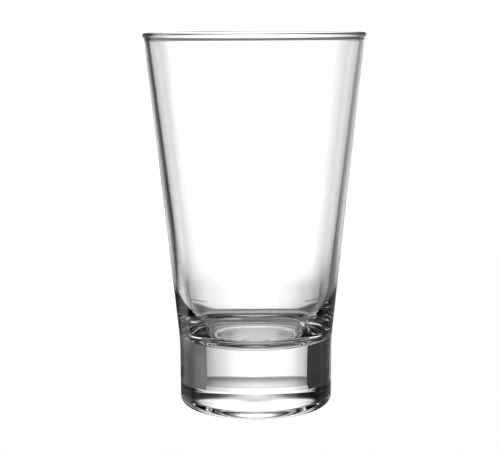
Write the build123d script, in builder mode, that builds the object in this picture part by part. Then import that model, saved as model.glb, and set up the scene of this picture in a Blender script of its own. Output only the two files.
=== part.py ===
from build123d import *
import math
import os

os.makedirs("parts", exist_ok=True)

# Pint glass: one piece of clear glass, a solid of revolution about Z.
# Millimetres, +Z up, the glass stands on z = 0 with its axis on X = Y = 0.

# Outside: a nearly straight base, then a cone up to the rim
height = 150.0
cone_top_radius = 43.95
shoulder_height = 27.0
shoulder_radius = 30.75
shoulder_blend = 90.0
heel_top_radius = 30.6
heel_radius = 4.0

# Rounded rim, a little wider than the wall under it
bead_radius = 1.2
bead_outer_radius = 44.4
bead_blend = 2.5

# Inside: a conical wall that bends inwards low down and runs round a corner
# into a dished floor
wall_bend_height = 42.0
wall_bend_thickness = 3.5
wall_bend_blend = 48.0
floor_edge_radius = 22.7
floor_height = 24.9
floor_dish = 3.0
floor_corner_blend = 9.0

# Underside: a narrow ring to stand on, a shallow channel inside it and a low
# round boss in the middle
foot_inner_radius = 25.8
foot_edge_blend = 0.4
channel_outer_radius = 22.6
channel_outer_height = 2.7
channel_outer_blend = 2.4
channel_radius = 20.5
channel_height = 2.9
channel_blend = 6.0
boss_radius = 8.0
boss_height = 1.2
boss_blend = 6.0

# Slope of the outer wall, as radius gained per millimetre of height
outer_slope = (cone_top_radius - shoulder_radius) / (height - shoulder_height)

# The bead is a circle on the section, and the inner wall runs up tangent to it.
bead_centre_radius = bead_outer_radius - bead_radius
bead_centre_height = height - bead_radius
outer_at_bead = cone_top_radius - outer_slope * bead_radius
outer_at_bend = shoulder_radius + outer_slope * (wall_bend_height - shoulder_height)
wall_bend = (outer_at_bend - wall_bend_thickness, wall_bend_height)
rise = bead_centre_height - wall_bend_height
spread = bead_centre_radius - wall_bend[0]
lean = math.atan2(spread, rise) - math.asin(bead_radius / math.hypot(spread, rise))
bead_tangent = (
    bead_centre_radius - bead_radius * math.cos(lean),
    bead_centre_height + bead_radius * math.sin(lean),
)

# The floor is a shallow arc centred high above it on the axis.
floor_corner = (floor_edge_radius, floor_height + floor_dish)
floor_arc_radius = (floor_edge_radius**2 + floor_dish**2) / (2 * floor_dish)
floor_arc_angle = math.degrees(math.asin(floor_edge_radius / floor_arc_radius))

boss_edge = (boss_radius, boss_height)
channel_top = (channel_radius, channel_height)
channel_outer = (channel_outer_radius, channel_outer_height)
foot_corner = (foot_inner_radius, 0)
heel_corner = (heel_top_radius, 0)
shoulder_corner = (shoulder_radius, shoulder_height)


def round_corner(sketch, corner, radius):
    """Round the vertex of the section nearest a (radius, height) point."""
    place = Vector(corner[0], corner[1], 0)
    vertex = sketch.vertices().sort_by_distance(place)[0]
    fillet(vertex, radius)


with BuildPart() as glass_body:
    with BuildSketch(Plane.XZ) as section:
        with BuildLine():
            Polyline(
                (0, floor_height),
                (0, boss_height),
                boss_edge,
                channel_top,
                channel_outer,
                foot_corner,
                heel_corner,
                shoulder_corner,
                (outer_at_bead, bead_centre_height),
                bead_tangent,
                wall_bend,
                floor_corner,
            )
            CenterArc(
                (0, floor_height + floor_arc_radius),
                floor_arc_radius,
                -90,
                floor_arc_angle,
            )
        make_face()
        with Locations((bead_centre_radius, bead_centre_height)):
            Circle(bead_radius)
        round_corner(section, floor_corner, floor_corner_blend)
        round_corner(section, wall_bend, wall_bend_blend)
        round_corner(section, (outer_at_bead, bead_centre_height - bead_radius), bead_blend)
        round_corner(section, shoulder_corner, shoulder_blend)
        round_corner(section, heel_corner, heel_radius)
        round_corner(section, foot_corner, foot_edge_blend)
        round_corner(section, channel_outer, channel_outer_blend)
        round_corner(section, channel_top, channel_blend)
        round_corner(section, boss_edge, boss_blend)
    revolve(axis=Axis.Z)

glass_body.part.label = "glass_body"
export_step(glass_body.part, "parts/glass_body.step")
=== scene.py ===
import math

import bmesh
import bpy
from mathutils import Matrix, Vector


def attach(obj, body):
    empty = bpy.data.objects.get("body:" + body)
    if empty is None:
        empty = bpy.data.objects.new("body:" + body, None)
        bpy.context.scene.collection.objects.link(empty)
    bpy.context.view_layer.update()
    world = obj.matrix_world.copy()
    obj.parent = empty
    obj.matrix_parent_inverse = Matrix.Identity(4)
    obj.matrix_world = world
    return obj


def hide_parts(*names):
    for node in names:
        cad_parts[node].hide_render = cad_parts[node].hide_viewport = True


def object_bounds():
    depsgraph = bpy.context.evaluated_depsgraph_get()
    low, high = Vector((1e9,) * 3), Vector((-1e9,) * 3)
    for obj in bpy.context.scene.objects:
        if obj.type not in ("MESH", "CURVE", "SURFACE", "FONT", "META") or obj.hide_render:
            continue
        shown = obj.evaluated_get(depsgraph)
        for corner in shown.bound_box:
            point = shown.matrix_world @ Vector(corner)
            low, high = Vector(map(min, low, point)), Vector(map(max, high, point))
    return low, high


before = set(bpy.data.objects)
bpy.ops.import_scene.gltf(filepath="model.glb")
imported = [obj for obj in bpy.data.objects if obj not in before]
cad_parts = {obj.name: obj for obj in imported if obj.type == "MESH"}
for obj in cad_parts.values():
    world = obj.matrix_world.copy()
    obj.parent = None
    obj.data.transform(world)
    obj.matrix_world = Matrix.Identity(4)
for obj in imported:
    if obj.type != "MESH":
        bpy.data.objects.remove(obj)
cad_low, cad_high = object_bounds()
scene = bpy.context.scene

# ---------------------------------------------------------------- the section
# The glass's half section in metres, r outwards and z up: the same outline as
# the CAD solid, with every rounding drawn as a fine arc so that the light
# bends smoothly through it.
MM = (cad_high.z - cad_low.z) / 150.0

# Outside
HEIGHT = 150.0
CONE_TOP_RADIUS = 43.95
SHOULDER_HEIGHT = 27.0
SHOULDER_RADIUS = 30.75
SHOULDER_BLEND = 90.0
HEEL_TOP_RADIUS = 30.6
HEEL_RADIUS = 4.0
# Rounded rim
BEAD_RADIUS = 1.2
BEAD_OUTER_RADIUS = 44.4
BEAD_BLEND = 2.5
# Inside
WALL_BEND_HEIGHT = 42.0
WALL_BEND_THICKNESS = 3.5
WALL_BEND_BLEND = 48.0
FLOOR_EDGE_RADIUS = 22.7
FLOOR_HEIGHT = 24.9
FLOOR_DISH = 3.0
FLOOR_CORNER_BLEND = 9.0
# Underside
FOOT_INNER_RADIUS = 25.8
FOOT_EDGE_BLEND = 0.4
CHANNEL_OUTER_RADIUS = 22.6
CHANNEL_OUTER_HEIGHT = 2.7
CHANNEL_OUTER_BLEND = 2.4
CHANNEL_RADIUS = 20.5
CHANNEL_HEIGHT = 2.9
CHANNEL_BLEND = 6.0
BOSS_RADIUS = 8.0
BOSS_HEIGHT = 1.2
BOSS_BLEND = 6.0
# Vertices round each ring of the glass
SEGMENTS = 288


def arc_through(start, centre, end, steps):
    """Points on the short arc from start to end about centre, both included."""
    radius = math.dist(start, centre)
    a0 = math.atan2(start[1] - centre[1], start[0] - centre[0])
    a1 = math.atan2(end[1] - centre[1], end[0] - centre[0])
    turn = (a1 - a0 + math.pi) % (2 * math.pi) - math.pi
    return [
        (
            centre[0] + radius * math.cos(a0 + turn * k / steps),
            centre[1] + radius * math.sin(a0 + turn * k / steps),
        )
        for k in range(steps + 1)
    ]


def rounded(before, corner, after, radius, steps):
    """The corner between two straight runs, rounded off as an arc."""
    u = (Vector(before) - Vector(corner)).normalized()
    v = (Vector(after) - Vector(corner)).normalized()
    half = u.angle(v) / 2
    reach = radius / math.tan(half)
    centre = Vector(corner) + (u + v).normalized() * radius / math.sin(half)
    return arc_through(
        tuple(Vector(corner) + u * reach), tuple(centre), tuple(Vector(corner) + v * reach), steps
    )


def straight(start, end, steps):
    """Points between start and end, neither included."""
    return [
        (
            start[0] + (end[0] - start[0]) * k / steps,
            start[1] + (end[1] - start[1]) * k / steps,
        )
        for k in range(1, steps)
    ]


def half_section():
    """The closed outline from the underside's centre out, up, over the rim and down inside."""
    slope = (CONE_TOP_RADIUS - SHOULDER_RADIUS) / (HEIGHT - SHOULDER_HEIGHT)
    bead = (BEAD_OUTER_RADIUS - BEAD_RADIUS, HEIGHT - BEAD_RADIUS)

    # Outer wall as a line, and the concave blend that runs it into the bead
    tilt = math.atan(slope)
    out = Vector((math.cos(tilt), -math.sin(tilt)))
    along = Vector((math.sin(tilt), math.cos(tilt)))
    wall_top = Vector((CONE_TOP_RADIUS, HEIGHT))
    inside = (Vector(bead) - wall_top).dot(out)
    apart = math.sqrt((BEAD_BLEND + BEAD_RADIUS) ** 2 - (BEAD_BLEND - inside) ** 2)
    blend = Vector(bead) + out * (BEAD_BLEND - inside) - along * apart
    blend_low = tuple(blend - out * BEAD_BLEND)
    blend_high = tuple(Vector(bead) + (blend - Vector(bead)).normalized() * BEAD_RADIUS)

    # Inner wall: a line that leaves the bead at a tangent and ends at the bend
    bend_outer = SHOULDER_RADIUS + slope * (WALL_BEND_HEIGHT - SHOULDER_HEIGHT)
    bend = (bend_outer - WALL_BEND_THICKNESS, WALL_BEND_HEIGHT)
    rise = bead[1] - bend[1]
    spread = bead[0] - bend[0]
    lean = math.atan2(spread, rise) - math.asin(BEAD_RADIUS / math.hypot(spread, rise))
    inner_top = (bead[0] - BEAD_RADIUS * math.cos(lean), bead[1] + BEAD_RADIUS * math.sin(lean))

    # Floor: an arc centred on the axis, cut where the corner's arc meets it
    floor_edge = (FLOOR_EDGE_RADIUS, FLOOR_HEIGHT + FLOOR_DISH)
    dish = (FLOOR_EDGE_RADIUS**2 + FLOOR_DISH**2) / (2 * FLOOR_DISH)
    sphere = Vector((0.0, FLOOR_HEIGHT + dish))
    wall_dir = (Vector(bend) - Vector(floor_edge)).normalized()
    wall_in = Vector((-wall_dir.y, wall_dir.x))
    start = Vector(floor_edge) + wall_in * FLOOR_CORNER_BLEND - sphere
    reach = start.dot(wall_dir)
    gap = start.length_squared - (dish - FLOOR_CORNER_BLEND) ** 2
    step = math.sqrt(reach * reach - gap)
    travel = -reach - step if -reach - step >= 0 else -reach + step
    corner = sphere + start + wall_dir * travel
    on_wall = tuple(corner - wall_in * FLOOR_CORNER_BLEND)
    on_floor = tuple(sphere + (corner - sphere).normalized() * dish)

    boss_edge = (BOSS_RADIUS, BOSS_HEIGHT)
    channel = (CHANNEL_RADIUS, CHANNEL_HEIGHT)
    channel_outer = (CHANNEL_OUTER_RADIUS, CHANNEL_OUTER_HEIGHT)
    foot = (FOOT_INNER_RADIUS, 0.0)
    heel = (HEEL_TOP_RADIUS, 0.0)
    shoulder = (SHOULDER_RADIUS, SHOULDER_HEIGHT)
    top = (bead[0], HEIGHT)

    # Each row is a rounding, and how many steps the straight run before it takes
    pieces = [
        (rounded((0.0, BOSS_HEIGHT), boss_edge, channel, BOSS_BLEND, 10), 8),
        (rounded(boss_edge, channel, channel_outer, CHANNEL_BLEND, 12), 12),
        (rounded(channel, channel_outer, foot, CHANNEL_OUTER_BLEND, 16), 3),
        (rounded(channel_outer, foot, heel, FOOT_EDGE_BLEND, 6), 2),
        (rounded(foot, heel, shoulder, HEEL_RADIUS, 24), 2),
        (rounded(heel, shoulder, blend_low, SHOULDER_BLEND, 12), 10),
        (arc_through(blend_low, tuple(blend), blend_high, 8), 60),
        (arc_through(blend_high, bead, top, 12)[1:], 1),
        (arc_through(top, bead, inner_top, 12)[1:], 1),
        (rounded(inner_top, bend, floor_edge, WALL_BEND_BLEND, 16), 60),
        (arc_through(on_wall, tuple(corner), on_floor, 24), 4),
        (arc_through(on_floor, tuple(sphere), (0.0, FLOOR_HEIGHT), 24)[1:], 1),
    ]
    outline = [(0.0, BOSS_HEIGHT)]
    for points, steps in pieces:
        outline += straight(outline[-1], points[0], steps) + points
    return outline


def ring_of(bm, radius, height, segments):
    """A level ring of vertices about the Z axis, in metres."""
    return [
        bm.verts.new(
            (
                radius * math.cos(2 * math.pi * k / segments),
                radius * math.sin(2 * math.pi * k / segments),
                height,
            )
        )
        for k in range(segments)
    ]


def skin(bm, rings):
    """Four-sided faces between each ring and the next."""
    for lower, upper in zip(rings, rings[1:]):
        for k in range(len(lower)):
            n = (k + 1) % len(lower)
            bm.faces.new((lower[k], lower[n], upper[n], upper[k]))


def placed(name, data):
    """A new object in the scene that shows the mesh or camera."""
    piece = bpy.data.objects.new(name, data)
    scene.collection.objects.link(piece)
    return piece


def smooth_piece(name, bm):
    """The finished bmesh as a smooth-shaded object in the scene."""
    for face in bm.faces:
        face.smooth = True
    mesh = bpy.data.meshes.new(name)
    bm.to_mesh(mesh)
    bm.free()
    return placed(name, mesh)


def lathe(name, outline):
    """A seamless surface of revolution, closed on the axis at both ends."""
    bm = bmesh.new()
    rings = [ring_of(bm, r * MM, cad_low.z + z * MM, SEGMENTS) for r, z in outline[1:-1]]
    skin(bm, rings)
    for ring, (_, z) in ((rings[0], outline[0]), (rings[-1], outline[-1])):
        pole = bm.verts.new((0.0, 0.0, cad_low.z + z * MM))
        for k in range(SEGMENTS):
            bm.faces.new((pole, ring[k], ring[(k + 1) % SEGMENTS]))
    bmesh.ops.recalc_face_normals(bm, faces=bm.faces)
    return smooth_piece(name, bm)


# ---------------------------------------------------------------- node helpers
def new_material(name):
    """A new material, its node tree and its Principled shader."""
    material = bpy.data.materials.new(name)
    material.use_nodes = True
    return material, material.node_tree, material.node_tree.nodes["Principled BSDF"]


def feed(tree, socket, value):
    """Links the socket to value where that is a node's output, or else sets it to value."""
    if isinstance(value, bpy.types.NodeSocket):
        tree.links.new(value, socket)
    else:
        socket.default_value = value


def maths(tree, operation, *values):
    node = tree.nodes.new("ShaderNodeMath")
    node.operation = operation
    for socket, value in zip(node.inputs, values):
        feed(tree, socket, value)
    return node.outputs[0]


def times(tree, one, other):
    """Two colours multiplied."""
    node = tree.nodes.new("ShaderNodeVectorMath")
    node.operation = "MULTIPLY"
    feed(tree, node.inputs[0], one)
    feed(tree, node.inputs[1], other)
    return node.outputs[0]


def mixed(tree, factor, one, other):
    """A blend of two colours: one where factor is 0, other where it is 1."""
    node = tree.nodes.new("ShaderNodeMix")
    node.data_type = "RGBA"
    feed(tree, node.inputs["Factor"], factor)
    feed(tree, node.inputs["A"], one)
    feed(tree, node.inputs["B"], other)
    return node.outputs["Result"]


def span(tree, value, low, high, at_low=0.0, at_high=1.0, eased=False):
    """at_low where value is low or less, at_high where it is high or more."""
    node = tree.nodes.new("ShaderNodeMapRange")
    if eased:
        node.interpolation_type = "SMOOTHSTEP"
    feed(tree, node.inputs["Value"], value)
    node.inputs["From Min"].default_value = low
    node.inputs["From Max"].default_value = high
    node.inputs["To Min"].default_value = at_low
    node.inputs["To Max"].default_value = at_high
    return node.outputs[0]


def ramp(tree, value, stops):
    """A colour ramp of greys read at value: stops are (position, grey)."""
    node = tree.nodes.new("ShaderNodeValToRGB")
    elements = node.color_ramp.elements
    while len(elements) > 1:
        elements.remove(elements[-1])
    elements[0].position = stops[0][0]
    elements[0].color = (stops[0][1],) * 3 + (1,)
    for position, grey in stops[1:]:
        element = elements.new(position)
        element.color = (grey,) * 3 + (1,)
    feed(tree, node.inputs["Fac"], value)
    return node.outputs["Color"]


def ramp_between(tree, value, low, high, stops):
    """A ramp of greys over low to high, its stops given in the value's own units."""
    stops = [((x - low) / (high - low), grey) for x, grey in stops]
    return ramp(tree, span(tree, value, low, high), stops)


def coordinates(tree, kind):
    """A kind of texture coordinates, and the same split into X, Y and Z."""
    whole = tree.nodes.new("ShaderNodeTexCoord").outputs[kind]
    split = tree.nodes.new("ShaderNodeSeparateXYZ")
    feed(tree, split.inputs["Vector"], whole)
    return whole, split.outputs


def noise(tree, coords, scale, detail):
    node = tree.nodes.new("ShaderNodeTexNoise")
    feed(tree, node.inputs["Vector"], coords)
    node.inputs["Scale"].default_value = scale
    node.inputs["Detail"].default_value = detail
    return node.outputs["Fac"]


# ---------------------------------------------------------------- the glass
# Clear glass: very slightly wavy, with faint smudges, and rubbed dull where the
# foot ring meets the table. Sizes are in metres.
GLASS_IOR = 1.52
GLASS_TINTS = ((0.985, 0.992, 0.988, 1), (0.997, 0.999, 0.998, 1))
WAVE_SCALE = 55.0
WAVE_DETAIL = 1.0
WAVE_HEIGHT = 0.00002
SMUDGE_SCALE = 38.0
SMUDGE_DETAIL = 4.0
SMUDGE_STARTS = 0.55
SMUDGE_FULL = 0.75
SMUDGE_ROUGHNESS = 0.012
WORN_HEIGHT = 0.0001
WORN_ROUGHNESS = 0.25


def glass_material():
    material, tree, shader = new_material("clear_glass")
    shader.inputs["IOR"].default_value = GLASS_IOR
    shader.inputs["Transmission Weight"].default_value = 1.0
    coords, axes = coordinates(tree, "Object")

    bump = tree.nodes.new("ShaderNodeBump")
    bump.inputs["Strength"].default_value = 1.0
    bump.inputs["Distance"].default_value = WAVE_HEIGHT
    feed(tree, bump.inputs["Height"], noise(tree, coords, WAVE_SCALE, WAVE_DETAIL))
    feed(tree, shader.inputs["Normal"], bump.outputs["Normal"])

    smudges = noise(tree, coords, SMUDGE_SCALE, SMUDGE_DETAIL)
    feed(tree, shader.inputs["Base Color"], mixed(tree, smudges, *GLASS_TINTS))

    faint = span(tree, smudges, SMUDGE_STARTS, SMUDGE_FULL, 0.0, SMUDGE_ROUGHNESS)
    foot = cad_low.z
    worn = span(tree, axes["Z"], foot, foot + WORN_HEIGHT, WORN_ROUGHNESS, 0.0)
    feed(tree, shader.inputs["Roughness"], maths(tree, "MAXIMUM", faint, worn))
    return material


glass = lathe("pint_glass", half_section())
glass.data.materials.append(glass_material())
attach(glass, "root")
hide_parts("glass_body")

# ---------------------------------------------------------------- the floor
# A round white sweep in metres: flat under the glass, turning up far away on
# every side. It lies a hair below the glass's foot.
SWEEP_CENTRE = 0.4
SWEEP_FLAT = 2.6
SWEEP_TURN = 1.0
SWEEP_TURN_STEPS = 12
SWEEP_TOP = 3.0
SWEEP_SEGMENTS = 96
SWEEP_DROP = 0.0002
SWEEP_GREY = (0.25, 0.25, 0.25, 1)
SWEEP_ROUGHNESS = 0.9
SWEEP_GLOW = (1, 1, 1, 1)


def floor_material():
    """Mostly its own even glow, as the photo's ground is plain white without a shadow."""
    material, _, shader = new_material("pale_floor")
    shader.inputs["Base Color"].default_value = SWEEP_GREY
    shader.inputs["Roughness"].default_value = SWEEP_ROUGHNESS
    shader.inputs["Specular IOR Level"].default_value = 0.0
    shader.inputs["Emission Color"].default_value = SWEEP_GLOW
    shader.inputs["Emission Strength"].default_value = 1.0
    return material


def sweep(name):
    bm = bmesh.new()
    level = cad_low.z - SWEEP_DROP
    outline = [(SWEEP_CENTRE, 0.0), (SWEEP_FLAT, 0.0)]
    for k in range(1, SWEEP_TURN_STEPS + 1):
        turn = math.pi / 2 * k / SWEEP_TURN_STEPS
        outline.append(
            (SWEEP_FLAT + SWEEP_TURN * math.sin(turn), SWEEP_TURN * (1 - math.cos(turn)))
        )
    outline.append((SWEEP_FLAT + SWEEP_TURN, SWEEP_TOP))
    rings = [ring_of(bm, r, level + z, SWEEP_SEGMENTS) for r, z in outline]
    bm.faces.new(rings[0])
    skin(bm, rings)
    return smooth_piece(name, bm)


floor = sweep("floor")
floor.data.materials.append(floor_material())
# The glass neither shows nor mirrors the white ground
floor.visible_transmission = False
floor.visible_glossy = False


# ---------------------------------------------------------------- the card
# A white card stands close behind the glass: the light that the glass shows. It
# is drawn in two parts, the lower one narrow with sharp ends, and the one above
# CARD_WAIST wide and fading sideways. Its greys are listed against X, in metres
# like everything here.
CARD_Y = 0.150
CARD_LOW = -0.060
CARD_WAIST = 0.004
CARD_HIGH = 0.40
CARD_LOWER = (
    (-0.067, 0.50),
    (-0.0615, 0.58),
    (-0.057, 0.68),
    (-0.0525, 0.73),
    (-0.049, 0.79),
    (-0.042, 0.90),
    (-0.038, 1.0),
    (-0.030, 1.07),
    (0.0, 1.35),
    (0.0235, 1.03),
    (0.028, 0.92),
    (0.031, 0.86),
    (0.044, 0.69),
    (0.048, 0.61),
    (0.0545, 0.52),
    (0.061, 0.42),
)
CARD_UPPER = (
    (-0.155, 0.04),
    (-0.124, 0.06),
    (-0.110, 0.10),
    (-0.102, 0.25),
    (-0.094, 0.60),
    (-0.088, 0.72),
    (-0.062, 0.95),
    (-0.045, 1.20),
    (0.0, 1.35),
    (0.045, 1.20),
    (0.060, 0.95),
    (0.080, 0.76),
    (0.092, 0.66),
    (0.100, 0.45),
    (0.112, 0.34),
    (0.137, 0.28),
    (0.155, 0.26),
)
# Just above the waist the wide part starts from the narrow part's greys, with
# the room's grey past its ends.
CARD_WAIST_TAIL_LEFT = ((-0.155, 0.04), (-0.069, 0.045))
CARD_WAIST_TAIL_RIGHT = ((0.063, 0.17), (0.155, 0.17))
CARD_WAIST_BLEND = 0.030
# The same card's greys against Z: it darkens at its lowest end, and is dim above
# the rim.
CARD_UP = (
    (-0.060, 0.16),
    (-0.040, 0.22),
    (-0.034, 0.90),
    (-0.0199, 0.98),
    (0.020, 1.0),
    (0.060, 1.1),
    (0.163, 1.1),
    (0.173, 0.18),
    (0.400, 0.18),
)
# A thin grey gap low across the card, against Z
CARD_GAP = (
    (-0.0253, 1.0),
    (-0.0242, 0.80),
    (-0.0228, 0.50),
    (-0.0216, 0.30),
    (-0.0206, 0.30),
    (-0.0199, 1.0),
)
# The gap shows only to rays that meet the card nearly level: this is how far it
# is filled in, against how much the card is seen off its face. A ray's sideways
# turn grows with X, so that share is taken off first.
CARD_GAP_OFF_LEVEL = (
    (0.0, 0.0),
    (0.033, 0.0),
    (0.045, 1.0),
    (1.0, 1.0),
)
CARD_SIDEWAYS_TURN = 37.0
# The gap and everything below it sag towards the card's ends.
CARD_BOW = 1.3
# The card works like a gridded lamp: seen far off its face it fades away.
CARD_OFF_FACE = (
    (0.0, 1.0),
    (0.218, 1.0),
    (0.237, 0.50),
    (0.254, 0.16),
    (0.28, 0.04),
    (0.32, 0.01),
    (1.0, 0.0),
)


def card_material(name, across, blended):
    material, tree, shader = new_material(name)
    _, axes = coordinates(tree, "Object")
    left, right = across[0][0], across[-1][0]
    light = ramp_between(tree, axes["X"], left, right, across)
    if blended:
        stops = CARD_WAIST_TAIL_LEFT + CARD_LOWER + CARD_WAIST_TAIL_RIGHT
        at_waist = ramp_between(tree, axes["X"], left, right, stops)
        blend_top = CARD_WAIST + CARD_WAIST_BLEND
        risen = span(tree, axes["Z"], CARD_WAIST, blend_top, eased=True)
        light = mixed(tree, risen, at_waist, light)

    x_squared = maths(tree, "MULTIPLY", axes["X"], axes["X"])
    level = maths(tree, "MULTIPLY_ADD", x_squared, CARD_BOW, axes["Z"])
    off_face = tree.nodes.new("ShaderNodeLayerWeight")
    off_face.inputs["Blend"].default_value = 0.5
    facing = off_face.outputs["Facing"]
    gap = ramp_between(tree, level, CARD_GAP[0][0], CARD_GAP[-1][0], CARD_GAP)
    steep = maths(tree, "MULTIPLY_ADD", x_squared, -CARD_SIDEWAYS_TURN, facing)
    past_gap = ramp(tree, steep, CARD_GAP_OFF_LEVEL)
    light = times(tree, light, ramp_between(tree, level, CARD_LOW, CARD_HIGH, CARD_UP))
    light = times(tree, light, maths(tree, "MAXIMUM", gap, past_gap))

    shader.inputs["Base Color"].default_value = (0, 0, 0, 1)
    shader.inputs["Roughness"].default_value = 1.0
    shader.inputs["Specular IOR Level"].default_value = 0.0
    feed(tree, shader.inputs["Emission Color"], light)
    shader.inputs["Emission Strength"].default_value = 1.0
    feed(tree, shader.inputs["Alpha"], ramp(tree, facing, CARD_OFF_FACE))
    return material


def card(name, low, high, across, blended):
    """One upright part of the card, which only the glass shows or mirrors."""
    mesh = bpy.data.meshes.new(name)
    left, right = across[0][0], across[-1][0]
    corners = [(left, low), (right, low), (right, high), (left, high)]
    mesh.from_pydata([(x, CARD_Y, z) for x, z in corners], [], [(0, 1, 2, 3)])
    piece = placed(name, mesh)
    piece.data.materials.append(card_material(name + "_light", across, blended))
    piece.visible_camera = False
    piece.visible_diffuse = False
    piece.visible_shadow = False


card("card_lower", CARD_LOW, CARD_WAIST, CARD_LOWER, False)
card("card_upper", CARD_WAIST, CARD_HIGH, CARD_UPPER, True)

# ---------------------------------------------------------------- the room
# The room round the card, in degrees. Its greys by compass bearing, where 0 is
# straight behind the glass and 90 is to the right (+X): dim all round, and
# palest behind the glass to the right.
ROOM_ROUND = (
    (-180, 0.08),
    (-98, 0.05),
    (-60, 0.03),
    (-20, 0.045),
    (10, 0.17),
    (31, 0.18),
    (37, 0.16),
    (42, 0.13),
    (50, 0.10),
    (62, 0.16),
    (70, 0.05),
    (98, 0.05),
    (180, 0.08),
)
# Multiplied by these against the height above the horizon: dimmest overhead
ROOM_UP = (
    (-90, 0.3),
    (-42, 0.3),
    (-26, 0.6),
    (-18, 1.0),
    (-5, 1.0),
    (5, 0.55),
    (14, 0.12),
    (50, 0.10),
    (90, 0.10),
)
# A soft lamp straight overhead, against height, added on top
OVERHEAD = (
    (-90, 0.0),
    (54, 0.0),
    (64, 1.5),
    (90, 1.6),
)
# Pale openings round the room: bearing, half width, height, half height and how
# soft the edge is, all in degrees, and how bright.
OPENINGS = (
    (-90, 13, -3, 9, 5, 0.7),
    (-45, 16, -27, 9, 5, 0.8),
    (135, 18, -15, 10, 5, 0.8),
    (0, 13, -38, 6, 5, 0.16),
    (0, 2, -36, 7, 10, 0.42),
    (0, 14, -75, 12, 5, 0.5),
)


def studio_world():
    world = bpy.data.worlds.new("studio")
    scene.world = world
    world.use_nodes = True
    tree = world.node_tree
    _, axes = coordinates(tree, "Generated")
    bearing = maths(tree, "DEGREES", maths(tree, "ARCTAN2", axes["X"], axes["Y"]))
    climb = maths(tree, "DEGREES", maths(tree, "ARCSINE", axes["Z"]))

    def inside(value, centre, half, soft):
        """1 within half of centre, falling to 0 over the soft edge outside it."""
        away = maths(tree, "ABSOLUTE", maths(tree, "SUBTRACT", value, centre))
        return span(tree, away, half, half + soft, 1.0, 0.0, eased=True)

    around = ramp_between(tree, bearing, -180, 180, ROOM_ROUND)
    upward = ramp_between(tree, climb, -90, 90, ROOM_UP)
    overhead = ramp_between(tree, climb, -90, 90, OVERHEAD)
    light = maths(tree, "ADD", maths(tree, "MULTIPLY", around, upward), overhead)
    for centre, half, level, half_level, soft, grey in OPENINGS:
        sideways = inside(bearing, centre, half, soft)
        mask = maths(tree, "MULTIPLY", sideways, inside(climb, level, half_level, soft))
        light = maths(tree, "MAXIMUM", light, maths(tree, "MULTIPLY", mask, grey))
    background = tree.nodes["Background"]
    feed(tree, background.inputs["Color"], light)
    background.inputs["Strength"].default_value = 1.0


studio_world()

# ---------------------------------------------------------------- the camera
# Metres, degrees, and millimetres for the lens, fitted to the photo's outline
CAMERA_DISTANCE = 0.597
CAMERA_HEIGHT = 0.157
CAMERA_PITCH = 7.989
CAMERA_YAW = 0.197
CAMERA_ROLL = 0.3
LENS = 107.87
SENSOR_WIDTH = 36.0

camera_data = bpy.data.cameras.new("camera")
camera_data.lens = LENS
camera_data.sensor_width = SENSOR_WIDTH
camera = placed("camera", camera_data)
camera.matrix_world = (
    Matrix.Translation((0.0, -CAMERA_DISTANCE, CAMERA_HEIGHT))
    @ Matrix.Rotation(math.radians(CAMERA_YAW), 4, "Z")
    @ Matrix.Rotation(math.radians(90 - CAMERA_PITCH), 4, "X")
    @ Matrix.Rotation(math.radians(-CAMERA_ROLL), 4, "Z")
)
scene.camera = camera

# Light passes the glass's surfaces many times before it reaches the camera
GLASS_BOUNCES = 24
GLOSSY_BOUNCES = 8

scene.view_settings.view_transform = "Standard"
scene.cycles.max_bounces = GLASS_BOUNCES
scene.cycles.transmission_bounces = GLASS_BOUNCES
scene.cycles.glossy_bounces = GLOSSY_BOUNCES
